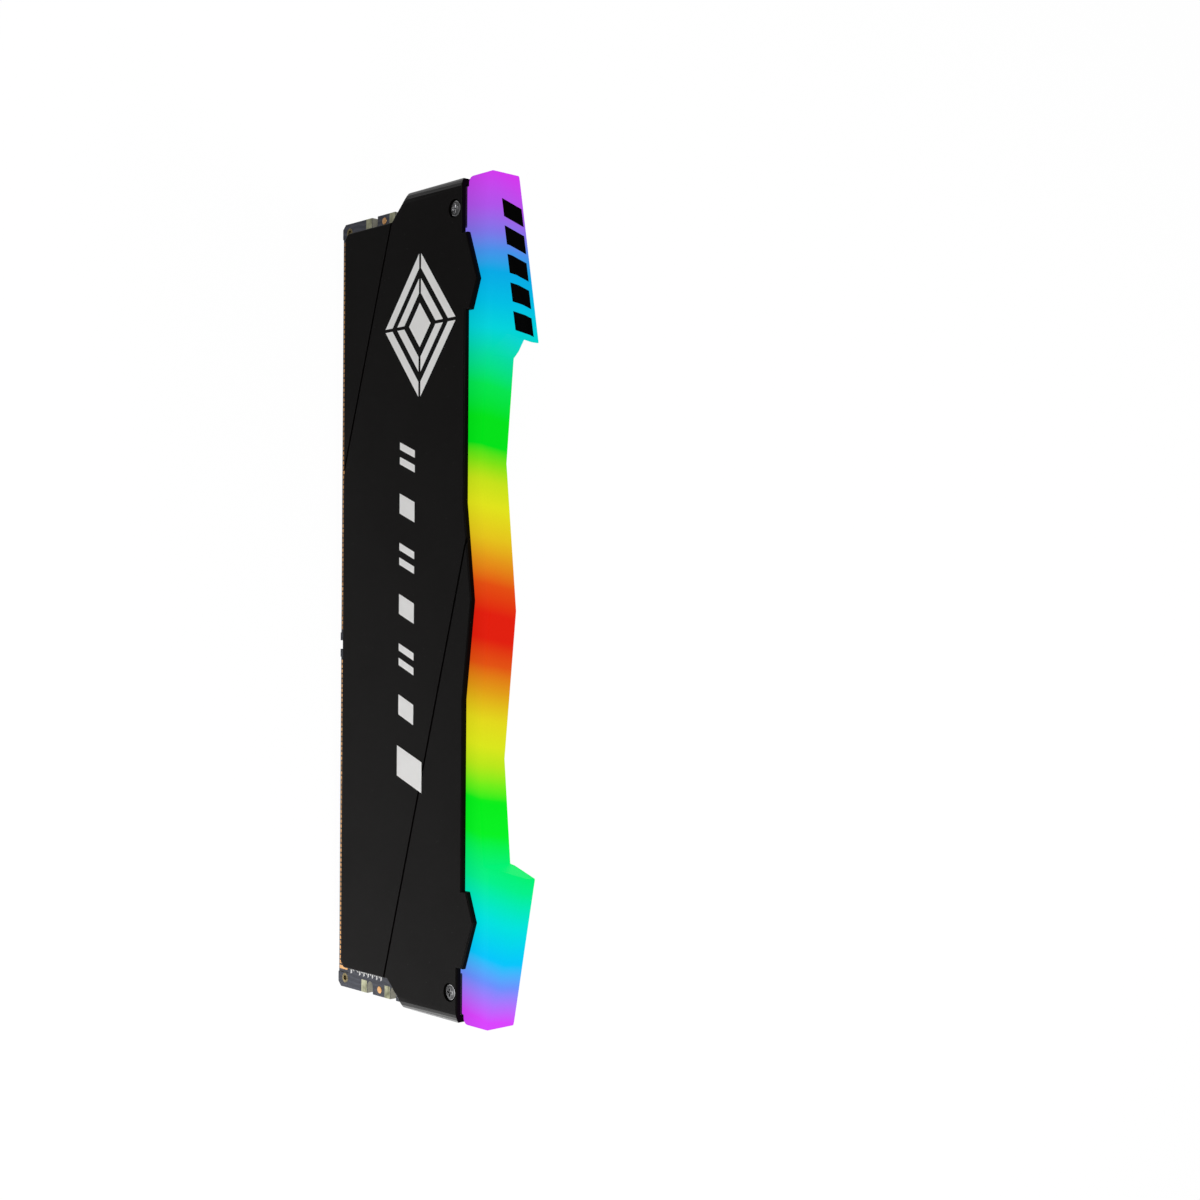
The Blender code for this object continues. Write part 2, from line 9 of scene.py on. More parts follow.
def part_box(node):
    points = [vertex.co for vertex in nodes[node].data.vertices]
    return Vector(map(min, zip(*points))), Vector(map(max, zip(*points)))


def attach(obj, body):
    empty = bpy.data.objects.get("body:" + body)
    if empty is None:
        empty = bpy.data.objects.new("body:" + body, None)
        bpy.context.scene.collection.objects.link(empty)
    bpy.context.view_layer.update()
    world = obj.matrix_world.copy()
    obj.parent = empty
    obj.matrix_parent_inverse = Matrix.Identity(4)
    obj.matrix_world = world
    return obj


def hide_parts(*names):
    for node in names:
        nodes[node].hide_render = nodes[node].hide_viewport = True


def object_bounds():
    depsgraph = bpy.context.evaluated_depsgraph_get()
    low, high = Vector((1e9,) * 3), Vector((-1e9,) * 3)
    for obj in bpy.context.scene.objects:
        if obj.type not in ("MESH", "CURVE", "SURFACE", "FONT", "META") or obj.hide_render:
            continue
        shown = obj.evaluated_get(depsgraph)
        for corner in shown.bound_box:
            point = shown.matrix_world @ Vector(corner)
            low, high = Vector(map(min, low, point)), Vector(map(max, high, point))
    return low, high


mm = 0.001
upright = Vector((0, 0, 1))

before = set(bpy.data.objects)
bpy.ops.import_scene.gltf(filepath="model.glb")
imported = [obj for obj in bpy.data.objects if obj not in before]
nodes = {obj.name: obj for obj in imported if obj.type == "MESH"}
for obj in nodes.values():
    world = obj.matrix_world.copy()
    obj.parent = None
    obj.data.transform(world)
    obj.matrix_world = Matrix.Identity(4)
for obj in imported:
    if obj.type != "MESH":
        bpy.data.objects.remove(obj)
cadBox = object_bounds()
print("frame loaded,", len(nodes), "nodes")


# Helpers for node trees

# Linear colour, from the 0 to 255 values that a screen shows
def screenColour(red, green, blue):
    shares = [value / 255 for value in (red, green, blue)]
    return [s / 12.92 if s <= 0.04045 else ((s + 0.055) / 1.055) ** 2.4 for s in shares]


# Links another node's output to a socket, or sets the socket's own value
def setSocket(tree, node, name, value):
    socket = node.inputs[name]
    if isinstance(value, bpy.types.NodeSocket):
        tree.links.new(value, socket)
    elif socket.type == "RGBA":
        socket.default_value = (*value[:3], 1.0)
    else:
        socket.default_value = value


# A new node, given its kind, its settings and what its inputs hold
def addNode(tree, kind, settings=None, sockets=None):
    node = tree.nodes.new("ShaderNode" + kind)
    for name, value in (settings or {}).items():
        setattr(node, name, value)
    for name, value in (sockets or {}).items():
        setSocket(tree, node, name, value)
    return node


# A Math node's output. Inputs are numbers or other outputs
def addMath(tree, operation, first, second=0.0, third=0.0):
    values = dict(enumerate((first, second, third)))
    return addNode(tree, "Math", {"operation": operation}, values).outputs[0]


# Maps a value from one range to another, clamped
def addRange(tree, value, low, high, toLow=0.0, toHigh=1.0):
    places = {"Value": value, "From Min": low, "From Max": high, "To Min": toLow, "To Max": toHigh}
    return addNode(tree, "MapRange", None, places).outputs["Result"]


# The place that is being shaded, in metres
def objectPlace(tree):
    return addNode(tree, "TexCoord").outputs["Object"]


# A vector's X, Y and Z
def splitAxes(tree, vector):
    return addNode(tree, "SeparateXYZ", None, {"Vector": vector}).outputs


# The first colour where share is 0, the second where it is 1
def mixColour(tree, share, first, second):
    node = addNode(tree, "Mix", {"data_type": "RGBA"}, {0: share, 6: first, 7: second})
    return node.outputs[2]


# An empty shader group with float inputs, given as name and starting value, and its outputs
def newGroup(name, inputs, outputs):
    tree = bpy.data.node_groups.new(name, "ShaderNodeTree")
    for label, value in inputs.items():
        socket = tree.interface.new_socket(label, in_out="INPUT", socket_type="NodeSocketFloat")
        socket.default_value = value
    for label in outputs:
        tree.interface.new_socket(label, in_out="OUTPUT", socket_type="NodeSocketFloat")
    given = tree.nodes.new("NodeGroupInput")
    result = tree.nodes.new("NodeGroupOutput")
    return tree, given.outputs, result


# Places a shared group with a material's own values, and gives its outputs
def addGroup(tree, group, **values):
    node = tree.nodes.new("ShaderNodeGroup")
    node.node_tree = group
    for name, value in values.items():
        node.inputs[name].default_value = value
    return node.outputs


# A material with a Principled BSDF. Socket names are given with underscores for spaces
def newMaterial(name, **sockets):
    material = bpy.data.materials.new(name)
    material.use_nodes = True
    tree = material.node_tree
    shader = tree.nodes["Principled BSDF"]
    for label, value in sockets.items():
        setSocket(tree, shader, label.replace("_", " "), value)
    return material, tree, shader


# Raises the surface by a height value, over the given distance
def addBump(tree, shader, height, strength, distance):
    bump = addNode(tree, "Bump", None, {"Height": height, "Strength": strength, "Distance": distance})
    tree.links.new(bump.outputs["Normal"], shader.inputs["Normal"])


# Effects that several materials share

# Fine moulded or sprayed grain, with a slow drift in tone. Size is in millimetres
def makeGrainGroup():
    tree, given, result = newGroup("surfaceGrain", {"Size": 0.2, "Drift": 12.0}, ["Height", "Tone"])
    for label, size, detail, roughness in (("Height", "Size", 3.0, 0.6), ("Tone", "Drift", 4.0, 0.55)):
        scale = addMath(tree, "DIVIDE", 1 / mm, given[size])
        sockets = {"Vector": objectPlace(tree), "Scale": scale, "Detail": detail, "Roughness": roughness}
        setSocket(tree, result, label, addNode(tree, "TexNoise", None, sockets).outputs["Fac"])
    return tree


wearAndHighlightPattern = {
    "flat": 0.995,  # cosine of the angle between the true and the rounded surface where edge wear and painted highlight start
    "sharp": 0.86,  # and where it is full
    "patchScale": 900.0,
    "patches": (0.3, 0.62),  # noise values where a patch of wear and painted highlight starts and is full
}


# A mask of the edges, broken up into patches, for wear and for painted edge highlights. Reach is in
# millimetres, Spread is the most the mask reaches
def makeWearAndHighlightGroup():
    pattern = wearAndHighlightPattern
    tree, given, result = newGroup("edgeWearAndHighlight", {"Reach": 0.15, "Spread": 0.5}, ["Mask"])
    reach = addMath(tree, "MULTIPLY", given["Reach"], mm)
    rounded = addNode(tree, "Bevel", {"samples": 4}, {"Radius": reach})
    facing = addNode(tree, "NewGeometry").outputs["Normal"]
    same = addNode(tree, "VectorMath", {"operation": "DOT_PRODUCT"}, {0: rounded.outputs[0], 1: facing})
    edge = addRange(tree, same.outputs["Value"], pattern["flat"], pattern["sharp"])
    sockets = {"Vector": objectPlace(tree), "Scale": pattern["patchScale"], "Detail": 4.0}
    noise = addNode(tree, "TexNoise", None, sockets).outputs["Fac"]
    broken = addRange(tree, noise, *pattern["patches"])
    share = addMath(tree, "MULTIPLY", given["Spread"], broken)
    setSocket(tree, result, "Mask", addMath(tree, "MULTIPLY", edge, share))
    return tree


# Sparse specks. Size and Spacing are in millimetres, Amount is the share of places with a speck
def makeDustGroup():
    tree, given, result = newGroup("dustSpecks", {"Spacing": 1.2, "Size": 0.05, "Amount": 0.3}, ["Mask"])
    scale = addMath(tree, "DIVIDE", 1 / mm, given["Spacing"])
    sockets = {"Vector": objectPlace(tree), "Scale": scale, "Randomness": 1.0}
    cells = addNode(tree, "TexVoronoi", None, sockets)
    radius = addMath(tree, "DIVIDE", given["Size"], given["Spacing"])
    inside = addMath(tree, "LESS_THAN", cells.outputs["Distance"], radius)
    chance = addNode(tree, "SeparateColor", None, {"Color": cells.outputs["Color"]}).outputs["Red"]
    kept = addMath(tree, "LESS_THAN", chance, given["Amount"])
    setSocket(tree, result, "Mask", addMath(tree, "MULTIPLY", inside, kept))
    return tree


# Fine lines along Z, as a socket leaves them. Pitch is in millimetres, Stretch is length to width
def makeScratchGroup():
    tree, given, result = newGroup("fineLines", {"Pitch": 0.1, "Stretch": 12.0}, ["Height"])
    scale = addMath(tree, "DIVIDE", 1 / mm, given["Pitch"])
    along = addMath(tree, "DIVIDE", scale, given["Stretch"])
    size = addNode(tree, "CombineXYZ", None, {"X": scale, "Y": scale, "Z": along})
    factors = {0: objectPlace(tree), 1: size.outputs[0]}
    spread = addNode(tree, "VectorMath", {"operation": "MULTIPLY"}, factors)
    lines = addNode(tree, "TexNoise", None, {"Vector": spread.outputs[0], "Scale": 1.0, "Detail": 2.0})
    setSocket(tree, result, "Height", lines.outputs["Fac"])
    return tree


surfaceGrain = makeGrainGroup()
edgeWearAndHighlight = makeWearAndHighlightGroup()
dustSpecks = makeDustGroup()
fineLines = makeScratchGroup()
print("shared effects built")


# Materials

heightSpan = (0.3, 0.75)  # where most of the grain's heights lie
toneSpan = (0.3, 0.7)  # and most of its tones

spreaderCoat = {
    "black": (0.0013, 0.0010, 0.0009),
    "wornAndHighlight": (0.020, 0.020, 0.021),
    "dust": (0.05, 0.05, 0.05),
    "speckle": 3,  # how many times lighter the tops of the grain are than the black
    "specks": (0.35, 0.7),  # grain heights where a speck starts and is full
    "roughness": (0.32, 0.46),
    "rolled": 2.4 * mm,  # length of the smoother, rolled ends
    "gloss": (0.42, 0.62),  # how far a rolled end is turned away where its shine starts and is full
}


# Black powder coat with a fine grain, worn edges lightened as a painted highlight, and some dust, glossier
# on the rolled ends
def makeSpreaderCoat():
    coat = spreaderCoat
    material, tree, shader = newMaterial(
        "spreaderCoat", Specular_IOR_Level=0.04, Coat_IOR=2.4, Coat_Roughness=0.12)
    grain = addGroup(tree, surfaceGrain, Size=0.09, Drift=14.0)
    wearAndHighlight = addGroup(tree, edgeWearAndHighlight, Reach=0.16, Spread=0.5)
    dust = addGroup(tree, dustSpecks, Spacing=1.1, Size=0.05, Amount=0.35)
    lifted = [coat["speckle"] * c for c in coat["black"]]
    base = mixColour(tree, addRange(tree, grain["Height"], *coat["specks"]), coat["black"], lifted)
    # Painted highlight and wear: the edges lighten towards the worn colour
    base = mixColour(tree, wearAndHighlight["Mask"], base, coat["wornAndHighlight"])
    base = mixColour(tree, dust["Mask"], base, coat["dust"])
    setSocket(tree, shader, "Base Color", base)
    setSocket(tree, shader, "Roughness", addRange(tree, grain["Tone"], *toneSpan, *coat["roughness"]))
    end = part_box("front_heatspreader")[1].x
    along = addMath(tree, "ABSOLUTE", splitAxes(tree, objectPlace(tree))["X"])
    rolled = addRange(tree, along, end - coat["rolled"], end - coat["rolled"] / 2)
    glance = addNode(tree, "LayerWeight", None, {"Blend": 0.5}).outputs["Facing"]
    shine = addRange(tree, glance, *coat["gloss"])
    setSocket(tree, shader, "Coat Weight", addMath(tree, "MULTIPLY", rolled, shine))
    addBump(tree, shader, grain["Height"], strength=0.35, distance=0.012 * mm)
    return material


lightBands = {
    "lean": 0.16,  # how far a band shifts along the bar for each step up or back
    "height": 40 * mm,  # where a band lies at its own place
    "sway": 0.8 * mm,  # how much the edge of a band wanders
    "paintedShadeSpan": (3.4 * mm, 8.4 * mm),  # above the bar's foot, where the painted shade on its lower sides fades out
    "paintedShadeBrightness": (0.86, 1.0),
    "grainSpan": (0.2, 0.8),  # grain heights between which the brightness varies
    "mottle": (0.975, 1.02),
    "strength": 1.02,
    "unlit": 0.02,  # how much of its colour the plastic shows by reflected light
    # place along the bar in millimetres, and the colour that shows there
    "stops": [
        (-68, (210, 55, 235)),
        (-62, (172, 84, 231)),
        (-58, (126, 115, 229)),
        (-55, (70, 143, 230)),
        (-52, (8, 166, 226)),
        (-47, (2, 188, 224)),
        (-43, (4, 208, 215)),
        (-38.5, (5, 217, 155)),
        (-34, (4, 226, 80)),
        (-29, (2, 225, 26)),
        (-24.5, (2, 226, 24)),
        (-22, (127, 227, 20)),
        (-19, (197, 226, 26)),
        (-15, (224, 226, 28)),
        (-10, (227, 194, 28)),
        (-6.5, (225, 147, 25)),
        (-2.5, (224, 76, 17)),
        (2, (222, 30, 13)),
        (6, (221, 30, 13)),
        (10, (223, 82, 18)),
        (14, (223, 153, 22)),
        (19, (226, 216, 28)),
        (23, (219, 231, 28)),
        (26, (186, 232, 26)),
        (29, (115, 238, 25)),
        (31.5, (5, 237, 26)),
        (37, (5, 240, 36)),
        (44, (3, 236, 138)),
        (50, (2, 222, 217)),
        (56, (4, 194, 248)),
        (60, (105, 142, 249)),
        (66, (214, 68, 249)),
    ],
}


# Frosted plastic lit from inside: the bands glow, with painted shade on the lower sides beside the heat
# spreaders
def makeFrostedBar():
    bands = lightBands
    material, tree, shader = newMaterial("frostedBar", Roughness=0.5, Specular_IOR_Level=0.01)
    axes = splitAxes(tree, objectPlace(tree))
    grain = addGroup(tree, surfaceGrain, Size=0.35, Drift=9.0)
    up = addMath(tree, "SUBTRACT", axes["Z"], bands["height"])
    offset = addMath(tree, "MULTIPLY", addMath(tree, "ADD", up, axes["Y"]), bands["lean"])
    along = addMath(tree, "SUBTRACT", axes["X"], offset)
    sway = addMath(tree, "MULTIPLY", addMath(tree, "SUBTRACT", grain["Tone"], 0.5), bands["sway"])
    first, last = bands["stops"][0][0] * mm, bands["stops"][-1][0] * mm
    share = addRange(tree, addMath(tree, "ADD", along, sway), first, last)
    ramp = addNode(tree, "ValToRGB", None, {"Fac": share})
    ramp.color_ramp.interpolation = "LINEAR"
    marks = ramp.color_ramp.elements
    marks.remove(marks[1])
    for index, (x, colour) in enumerate(bands["stops"]):
        position = (x * mm - first) / (last - first)
        mark = marks.new(position) if index else marks[0]
        mark.color = (*screenColour(*colour), 1.0)
    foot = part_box("light_bar")[0].z
    paintedShadeSpan = [foot + height for height in bands["paintedShadeSpan"]]
    # Painted shade: the glow is dimmed low on the bar's sides, where the heat spreaders and their tabs
    # shade it
    near = addRange(tree, axes["Z"], *paintedShadeSpan, *bands["paintedShadeBrightness"])
    mottle = addRange(tree, grain["Height"], *bands["grainSpan"], *bands["mottle"])
    shadeAndMottle = addMath(tree, "MULTIPLY", near, mottle)
    glow = addNode(tree, "VectorMath", {"operation": "SCALE"}, {0: ramp.outputs["Color"], "Scale": shadeAndMottle})
    black = (0.0, 0.0, 0.0)
    setSocket(tree, shader, "Base Color", mixColour(tree, 1 - bands["unlit"], ramp.outputs["Color"], black))
    setSocket(tree, shader, "Emission Color", glow.outputs["Vector"])
    setSocket(tree, shader, "Emission Strength", bands["strength"])
    addBump(tree, shader, grain["Height"], strength=0.15, distance=0.02 * mm)
    return material


boardLook = {
    "mask": (0.040, 0.043, 0.058),
    "copper": (0.062, 0.066, 0.086),
    "edge": (0.30, 0.29, 0.24),
    "edgeDark": (0.10, 0.10, 0.08),
    "tracePitch": 0.85 * mm,
    "traceShare": 0.42,  # of the pitch
    "traceBend": 2.0 * mm,
    "layerPitch": 0.16 * mm,
    "layerShare": (0.25, 0.5),  # of the pitch, where a layer starts to turn pale and is pale
    "edgeTurn": (0.7, 0.5),  # how far a surface faces along Y where the bare edge starts and is full
    "patches": (0.35, 0.65),  # tones where a paler patch of the mask starts and is full
    "patchShare": 0.35,
    "roughness": 0.38,
    "edgeRoughness": 0.35,  # added on the bare edges
    "coat": 0.10,
    "grainShare": 0.25,  # height of the grain beside that of the traces
}


# Dark solder mask with traces showing under it, and bare layered glass fibre on the edges
def makeBoard():
    look = boardLook
    material, tree, shader = newMaterial("boardMask", Specular_IOR_Level=0.12, Coat_Roughness=0.15)
    axes = splitAxes(tree, objectPlace(tree))
    grain = addGroup(tree, surfaceGrain, Size=0.12, Drift=5.0)
    facing = splitAxes(tree, addNode(tree, "NewGeometry").outputs["Normal"])
    onEdge = addRange(tree, addMath(tree, "ABSOLUTE", facing["Y"]), *look["edgeTurn"])
    bend = addMath(tree, "MULTIPLY", addMath(tree, "SUBTRACT", grain["Tone"], 0.5), look["traceBend"])
    turns = addMath(tree, "DIVIDE", addMath(tree, "ADD", axes["X"], bend), look["tracePitch"])
    trace = addMath(tree, "LESS_THAN", addMath(tree, "FRACT", turns), look["traceShare"])
    layers = addMath(tree, "FRACT", addMath(tree, "DIVIDE", axes["Y"], look["layerPitch"]))
    fibre = mixColour(tree, addRange(tree, layers, *look["layerShare"]), look["edgeDark"], look["edge"])
    fibre = mixColour(tree, addRange(tree, grain["Height"], *heightSpan), fibre, look["edge"])
    face = mixColour(tree, trace, look["mask"], look["copper"])
    patch = addRange(tree, grain["Tone"], *look["patches"], 0.0, look["patchShare"])
    face = mixColour(tree, patch, face, look["copper"])
    setSocket(tree, shader, "Base Color", mixColour(tree, onEdge, face, fibre))
    rough = addMath(tree, "MULTIPLY_ADD", onEdge, look["edgeRoughness"], look["roughness"])
    setSocket(tree, shader, "Roughness", rough)
    setSocket(tree, shader, "Coat Weight", addRange(tree, onEdge, 0.0, 1.0, look["coat"], 0.0))
    height = addMath(tree, "MULTIPLY_ADD", grain["Height"], look["grainShare"], trace)
    addBump(tree, shader, height, strength=0.3, distance=0.02 * mm)
    return material


stained = (0.42, 0.72)  # tones where metal starts to dull and is dull

# Each metal's edge colour is a painted highlight, laid on its worn edges
metalLooks = {
    "contactGold": {
        "colour": (0.56, 0.30, 0.12), "dull": (0.24, 0.12, 0.05), "edge": (0.86, 0.55, 0.28),
        "roughness": (0.18, 0.36), "reach": 0.06,
    },
    "holePlating": {
        "colour": (0.26, 0.21, 0.10), "dull": (0.10, 0.08, 0.04), "edge": (0.50, 0.38, 0.20),
        "roughness": (0.25, 0.45), "reach": 0.06,
    },
    "edgePlating": {
        "colour": (0.34, 0.34, 0.23), "dull": (0.13, 0.13, 0.08), "edge": (0.60, 0.60, 0.45),
        "roughness": (0.30, 0.50), "reach": 0.06,
    },
    "screwSteel": {
        "colour": (0.10, 0.10, 0.102), "dull": (0.010, 0.010, 0.011), "edge": (0.95, 0.95, 0.97),
        "roughness": (0.08, 0.24), "reach": 0.14,
    },
}


# Bare or plated metal: stains where it has dulled, painted highlights on the worn edges, and fine lines
def makeMetal(name):
    look = metalLooks[name]
    material, tree, shader = newMaterial(name, Metallic=1.0)
    grain = addGroup(tree, surfaceGrain, Size=0.08, Drift=1.6)
    wearAndHighlight = addGroup(tree, edgeWearAndHighlight, Reach=look["reach"], Spread=0.9)
    lines = addGroup(tree, fineLines, Pitch=0.06, Stretch=14.0)
    stain = addRange(tree, grain["Tone"], *stained)
    base = mixColour(tree, stain, look["colour"], look["dull"])
    # Painted highlight: the worn edges take the bright edge colour, which stands for glints
    base = mixColour(tree, wearAndHighlight["Mask"], base, look["edge"])
    setSocket(tree, shader, "Base Color", base)
    setSocket(tree, shader, "Roughness", addRange(tree, grain["Tone"], *toneSpan, *look["roughness"]))
    addBump(tree, shader, lines["Height"], strength=0.25, distance=0.006 * mm)
    return material


mouldedLooks = {
    "chipResin": {
        "colour": (0.022, 0.022, 0.024), "pale": (0.05, 0.05, 0.052),
        "roughness": (0.49, 0.63), "grain": 0.10, "specular": 0.25,
    },
    "carrierBlack": {
        "colour": (0.016, 0.016, 0.017), "pale": (0.04, 0.04, 0.04),
        "roughness": (0.42, 0.56), "grain": 0.22, "specular": 0.25,
    },
    "ferriteGrey": {
        "colour": (0.10, 0.10, 0.11), "pale": (0.18, 0.18, 0.18),
        "roughness": (0.54, 0.68), "grain": 0.14, "specular": 0.25,
    },
    "capacitorTan": {
        "colour": (0.42, 0.29, 0.18), "pale": (0.55, 0.42, 0.30),
        "roughness": (0.39, 0.53), "grain": 0.12, "specular": 0.25,
    },
    "ledResin": {
        "colour": (0.80, 0.80, 0.76), "pale": (0.90, 0.90, 0.86),
        "roughness": (0.24, 0.38), "grain": 0.25, "specular": 0.25,
    },
    "padGrey": {
        "colour": (0.30, 0.33, 0.37), "pale": (0.42, 0.45, 0.50),
        "roughness": (0.79, 0.93), "grain": 0.30, "specular": 0.25,
    },
    "inkWhite": {
        "colour": (0.88, 0.87, 0.855), "pale": (0.95, 0.95, 0.94),
        "roughness": (0.49, 0.63), "grain": 0.10, "specular": 0.25,
    },
    "inkBlack": {
        "colour": (0.0004, 0.0004, 0.0005), "pale": (0.0012, 0.0012, 0.0013),
        "roughness": (0.54, 0.68), "grain": 0.10, "specular": 0.02,
    },
}


# Moulded or printed plastic, resin and ceramic: fine grain, slow tone drift, paler edges
def makeMoulded(name):
    look = mouldedLooks[name]
    material, tree, shader = newMaterial(name, Specular_IOR_Level=look["specular"])
    grain = addGroup(tree, surfaceGrain, Size=look["grain"], Drift=3.0)
    wearAndHighlight = addGroup(tree, edgeWearAndHighlight, Reach=0.08, Spread=0.35)
    mottle = addMath(tree, "MULTIPLY", grain["Tone"], addRange(tree, grain["Height"], *heightSpan))
    base = mixColour(tree, mottle, look["colour"], look["pale"])
    base = mixColour(tree, wearAndHighlight["Mask"], base, look["pale"])
    setSocket(tree, shader, "Base Color", base)
    setSocket(tree, shader, "Roughness", addRange(tree, grain["Tone"], *toneSpan, *look["roughness"]))
    addBump(tree, shader, grain["Height"], strength=0.3, distance=0.012 * mm)
    return material


finishes = {name: makeMoulded(name) for name in mouldedLooks}
finishes.update({name: makeMetal(name) for name in metalLooks})
finishes["spreaderCoat"] = makeSpreaderCoat()
finishes["frostedBar"] = makeFrostedBar()
finishes["boardMask"] = makeBoard()
print("materials built")


# Dressing the nodes of the frame

# How a node's name starts, and its finish. The first line that fits counts
nodeFinishes = [
    ("pcb", "boardMask"),
    ("memory_chip", "chipResin"),
    ("power_chip", "chipResin"),
    ("spd_hub_chip", "chipResin"),
    ("lighting_controller", "chipResin"),
    ("inductor", "ferriteGrey"),
    ("capacitor", "capacitorTan"),
    ("led", "ledResin"),
    ("thermal_pad", "padGrey"),
    ("front_heatspreader", "spreaderCoat"),
    ("rear_heatspreader", "spreaderCoat"),
    ("light_bar_carrier", "carrierBlack"),
    ("light_bar", "frostedBar"),
    ("contacts", "contactGold"),
    ("front_screw", "screwSteel"),
    ("rear_screw", "screwSteel"),
]


def dressNodes():
    for name, node in nodes.items():
        finish = next(finish for start, finish in nodeFinishes if name.startswith(start))
        node.data.materials.clear()
        node.data.materials.append(finishes[finish])


dressNodes()


# Helpers for new pieces

# Puts a bmesh in the scene as a piece of the module
def addPiece(name, shape, finish):
    bmesh.ops.recalc_face_normals(shape, faces=shape.faces)
    mesh = bpy.data.meshes.new(name)
    shape.to_mesh(mesh)
    shape.free()
    mesh.materials.append(finishes[finish])
    piece = bpy.data.objects.new(name, mesh)
    bpy.context.scene.collection.objects.link(piece)
    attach(piece, "root")
    return piece


# A search tree over a node's faces, for laying prints on them
def surfaceOf(name):
    shape = bmesh.new()
    shape.from_mesh(nodes[name].data)
    tree = BVHTree.FromBMesh(shape)
    shape.free()
    return tree


farAway = 80 * mm  # a ray that starts this far off is outside the module


# Cuts a flat outline along X and along its heights, so that it can bend at each strip's edge
def cutInStrips(flat, outline, strip):
    for axis, direction in ((0, (1, 0, 0)), (1, (0, 0, 1))):
        low = min(point[axis] for point in outline)
        high = max(point[axis] for point in outline)
        for line in range(1, int((high - low) / strip) + 1):
            everything = flat.verts[:] + flat.edges[:] + flat.faces[:]
            place = (low + line * strip) * Vector(direction)
            bmesh.ops.bisect_plane(flat, geom=everything, plane_co=place, plane_no=direction)


# Adds flat outlines as a thin film on a surface. An outline's points are (x, height), its heights run
# along the direction up, and it is pressed on in the direction into. A strip width lets the film bend
def layPrint(shape, outlines, surface, up, into, film, strip=None):
    for outline in outlines:
        flat = bmesh.new()
        flat.faces.new([flat.verts.new((x, 0, height)) for x, height in outline])
        if strip:
            cutInStrips(flat, outline, strip)
        flat.verts.index_update()
        starts = [Vector((vert.co.x, 0, 0)) + vert.co.z * up - farAway * into for vert in flat.verts]
        laid = [surface.ray_cast(start, into)[0] for start in starts]
        under = [shape.verts.new(place + into * film / 2) for place in laid]
        over = [shape.verts.new(place - into * film) for place in laid]
        for face in flat.faces:
            corners = [vert.index for vert in face.verts]
            shape.faces.new([over[i] for i in corners])
            shape.faces.new([under[i] for i in reversed(corners)])
        for edge in flat.edges:
            if edge.is_boundary:
                i, j = (vert.index for vert in edge.verts)
                shape.faces.new((under[i], under[j], over[j], over[i]))
        flat.free()


# A slanted bar's outline: its middle, its size, and how far its top leans along X
def slanted(x, z, length, height, slant):
    low, high = z - height / 2, z + height / 2
    left, right = x - length / 2, x + length / 2
    lean = slant / 2
    return [(left - lean, low), (right - lean, low), (right + lean, high), (left + lean, high)]


# Edge contacts

contactFingers = {
    "pitch": 0.85 * mm,
    "width": 0.6 * mm,
    "foot": 0.048 * mm,  # how far the lower end draws back
    "corner": 0.12 * mm,  # cut off the corners of the upper end
    "bevel": 0.02 * mm,
}


# Separate plated fingers in place of one row's solid
def makeContacts(name):
    fingers = contactFingers
    low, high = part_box(name)
    outward = -1 if low.y < 0 else 1
    face, back = (low.y, high.y) if outward < 0 else (high.y, low.y)
    count = round((high.x - low.x - fingers["width"]) / fingers["pitch"]) + 1
    corner = fingers["corner"]
    shape = bmesh.new()
    for index in range(count):
        left = low.x + index * fingers["pitch"]
        right = left + fingers["width"]
        section = [
            (left, low.z), (right, low.z), (right, high.z - corner), (right - corner, high.z),
            (left + corner, high.z), (left, high.z - corner),
        ]
        ring = [shape.verts.new((x, face, z)) for x, z in section]
        deep = [shape.verts.new((x, back, z)) for x, z in section]
        for vert in ring[:2]:
            vert.co.y -= outward * fingers["foot"]
        shape.faces.new(ring)
        shape.faces.new(deep[::-1])
        for i in range(len(section)):
            j = (i + 1) % len(section)
            shape.faces.new((ring[i], deep[i], deep[j], ring[j]))
    piece = addPiece(name.replace("contacts", "contact_fingers"), shape, "contactGold")
    bevel = piece.modifiers.new("edges", "BEVEL")
    bevel.width = fingers["bevel"]
    bevel.segments = 2
    bevel.limit_method = "ANGLE"
    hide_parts(name)


for rowName in ("contacts_front_left", "contacts_front_right", "contacts_rear_left", "contacts_rear_right"):
    makeContacts(rowName)
print("contacts made")


# Plating, solder and marks on the board's two ends

# Insets are from the board's end, heights from its contact edge
boardTrim = {
    "film": 0.03 * mm,
    "holeInset": 1.6 * mm,
    "holeHeight": 2.0 * mm,
    "ringInner": 0.5 * mm,
    "ringOuter": 0.8 * mm,
    "barrelWall": 0.06 * mm,
    "stripLength": 2.1 * mm,
    "stripHeights": [(6.9 * mm, 8.5 * mm), (13.6 * mm, 15.1 * mm)],
    "stripBevel": 0.01 * mm,
    "dotInset": 1.1 * mm,
    "dotHeight": 12.1 * mm,
    "dotRadius": 0.62 * mm,
    "dotRise": 0.12 * mm,
    "dotSunk": 0.02 * mm,  # below the board's face
    "dotBore": 0.02 * mm,  # radius of the opening in its middle
    "domeAngles": (0, 20, 40, 60, 78),  # degrees
}

boardLow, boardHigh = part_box("pcb")
boardEnds = ((-1, "left", boardLow.x), (1, "right", boardHigh.x))
boardSides = ((-1, "front", boardLow.y), (1, "rear", boardHigh.y))


# Turns a closed profile of (radius, y) points about the Y direction
def ringAround(shape, x, z, profile, steps=32):
    verts = [[shape.verts.new((x + r * math.cos(a), y, z + r * math.sin(a))) for r, y in profile]
             for a in (i * math.tau / steps for i in range(steps))]
    for i, ring in enumerate(verts):
        following = verts[(i + 1) % steps]
        for j in range(len(profile)):
            k = (j + 1) % len(profile)
            shape.faces.new((ring[j], ring[k], following[k], following[j]))


# Shades a piece smooth, apart from edges sharper than the angle in degrees
def smoothPiece(piece, angle):
    piece.data.shade_smooth()
    piece.data.set_sharp_from_angle(angle=math.radians(angle))


